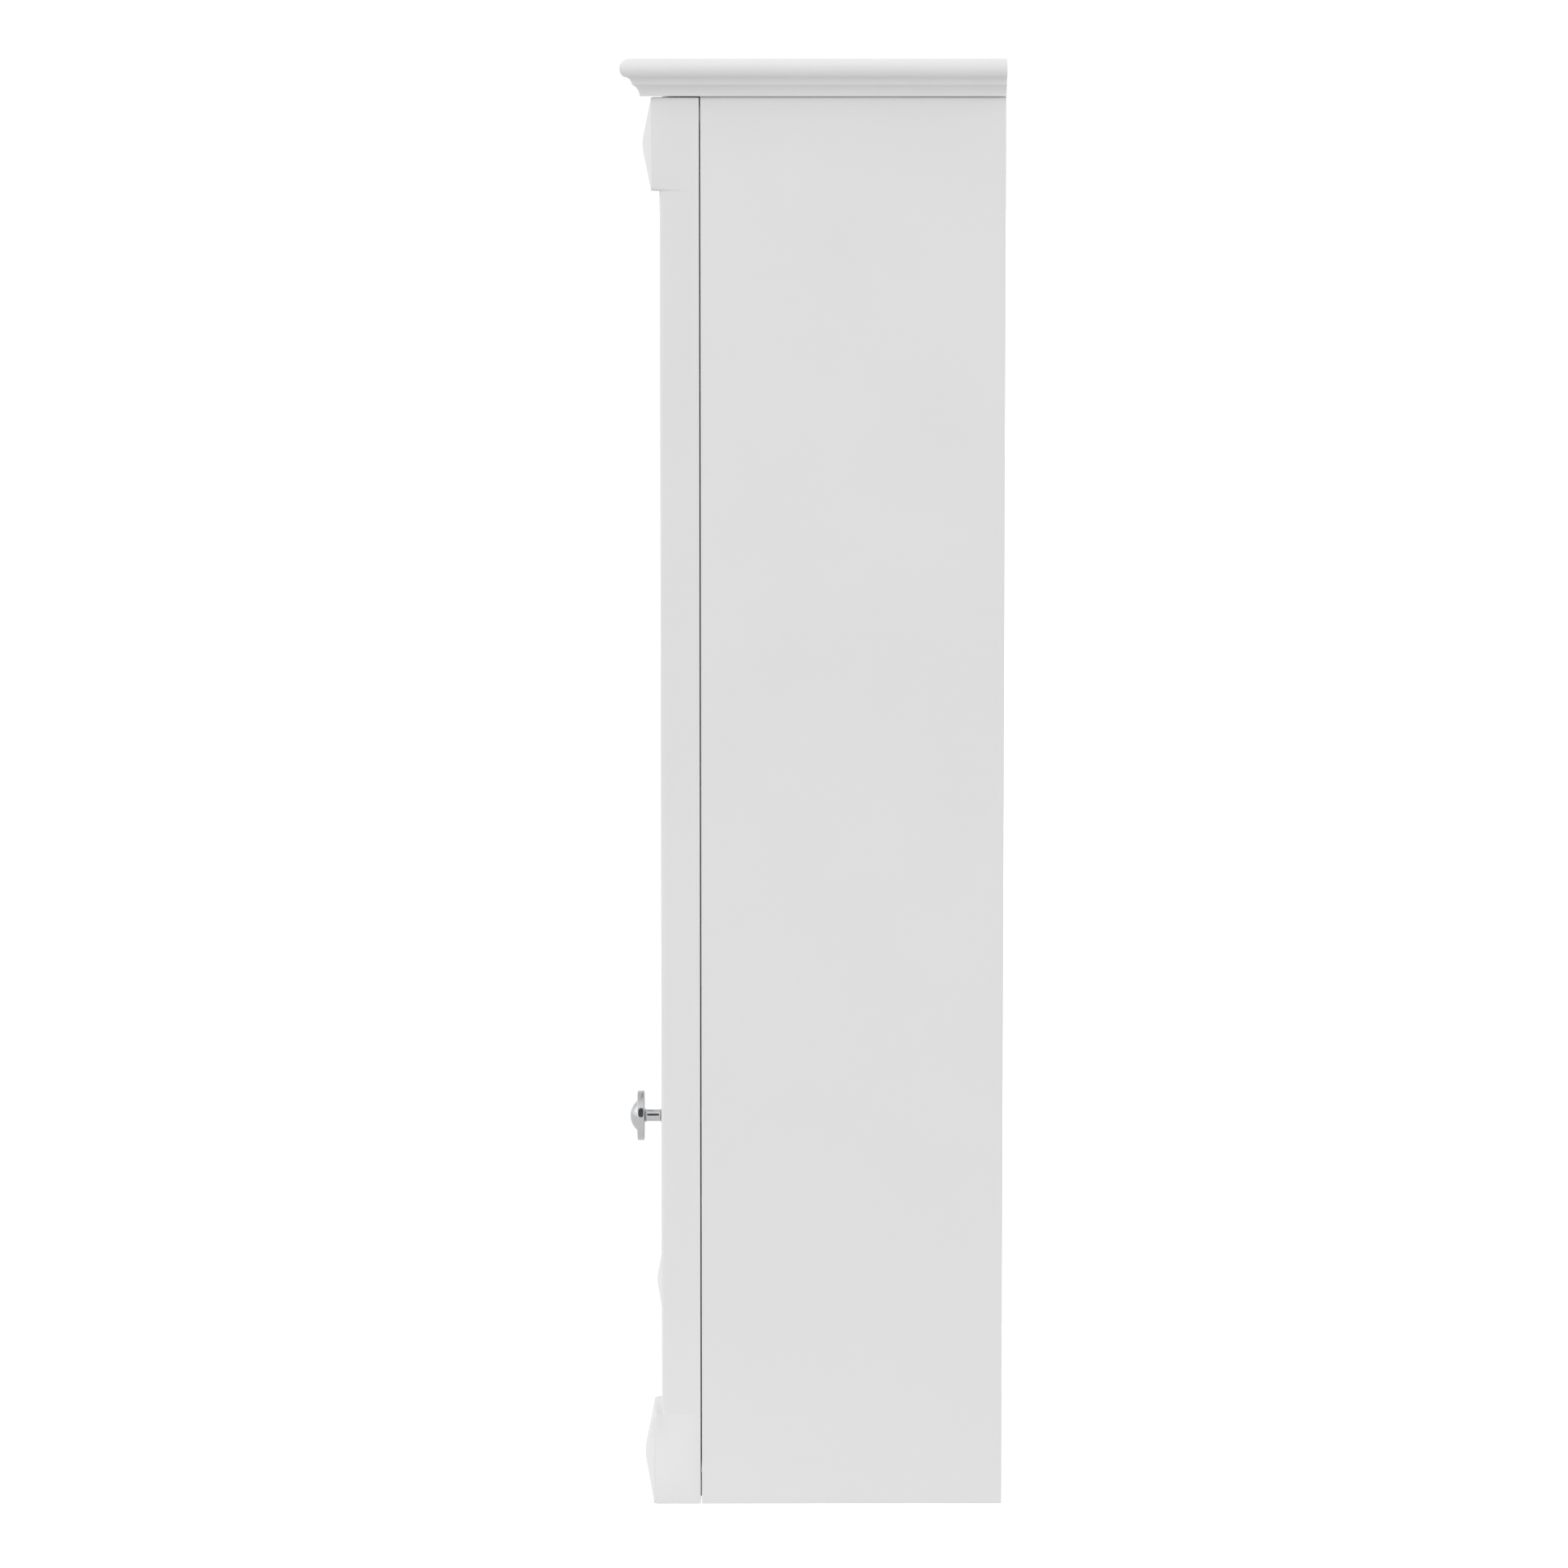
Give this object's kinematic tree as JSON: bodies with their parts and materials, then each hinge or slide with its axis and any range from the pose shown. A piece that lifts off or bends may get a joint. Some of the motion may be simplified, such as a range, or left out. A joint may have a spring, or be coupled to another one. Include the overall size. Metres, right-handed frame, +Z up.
{
  "type": "wall-hung apothecary cabinet",
  "caption": "Shallow white wall cabinet with a moulded crown, a mirrored door with pyramid corner blocks, a chrome knob, and adjustable shelves inside.",
  "frame": {"origin": "centre of the overall box, at the height of the cabinet's bottom face", "axes": "+Z up, +Y towards the wall, the door faces -Y, +X to the right seen from the front"},
  "size_m": [0.532, 0.187, 0.711],
  "materials": {
    "painted_mdf": "satin white lacquer on medium density fibreboard",
    "mirror_glass": "silvered float glass with a bevelled edge",
    "hardboard": "brown hardboard, smooth side out",
    "chrome_plate": "polished chrome plate on zinc",
    "beech_dowel": "plain beech",
    "zinc_plated_steel": "bright zinc plate",
    "nickel_plated_steel": "satin nickel plate",
    "white_catch_plastic": "moulded white ABS",
    "ferrite_magnet": "sintered ferrite, matt black",
    "clear_bumper": "soft clear polyurethane"
  },
  "bodies": {
    "cabinet": {"side_panel_left": "painted_mdf", "side_panel_right": "painted_mdf", "bottom_panel": "painted_mdf", "top_panel": "painted_mdf", "hanging_rail": "painted_mdf", "crown": "painted_mdf", "shelf_lower": "painted_mdf", "shelf_upper": "painted_mdf", "back_panel": "painted_mdf", "case_dowels": "beech_dowel", "crown_screws": "zinc_plated_steel", "back_nails": "zinc_plated_steel", "catch_screws": "zinc_plated_steel", "catch_pole_plates": "zinc_plated_steel", "hinge_bottom_cabinet_leaf": "nickel_plated_steel", "hinge_bottom_pin": "nickel_plated_steel", "hinge_top_cabinet_leaf": "nickel_plated_steel", "hinge_top_pin": "nickel_plated_steel", "hinge_cabinet_screws": "nickel_plated_steel", "shelf_pins_lower": "nickel_plated_steel", "shelf_pins_upper": "nickel_plated_steel", "catch_housing": "white_catch_plastic", "catch_magnet": "ferrite_magnet"},
    "door": {"door_stile_left": "painted_mdf", "door_stile_right": "painted_mdf", "door_rail_bottom": "painted_mdf", "door_rail_top": "painted_mdf", "corner_block_bottom_left": "painted_mdf", "corner_block_top_left": "painted_mdf", "corner_block_bottom_right": "painted_mdf", "corner_block_top_right": "painted_mdf", "mirror_glass": "mirror_glass", "mirror_backing": "hardboard", "knob": "chrome_plate", "door_dowels": "beech_dowel", "mirror_clip_screws": "zinc_plated_steel", "knob_screw": "zinc_plated_steel", "strike_screw": "zinc_plated_steel", "strike_plate": "zinc_plated_steel", "mirror_clips": "zinc_plated_steel", "door_bumpers": "clear_bumper", "hinge_bottom_door_leaf": "nickel_plated_steel", "hinge_top_door_leaf": "nickel_plated_steel", "hinge_door_screws": "nickel_plated_steel"}
  },
  "joints": [
    {"name": "door_swing", "type": "hinge", "parent": "cabinet", "child": "door", "pos_m": [-0.2572, -0.055, 0.3462], "axis": [0, 0, -1], "range_deg": [0, 170]}
  ]
}
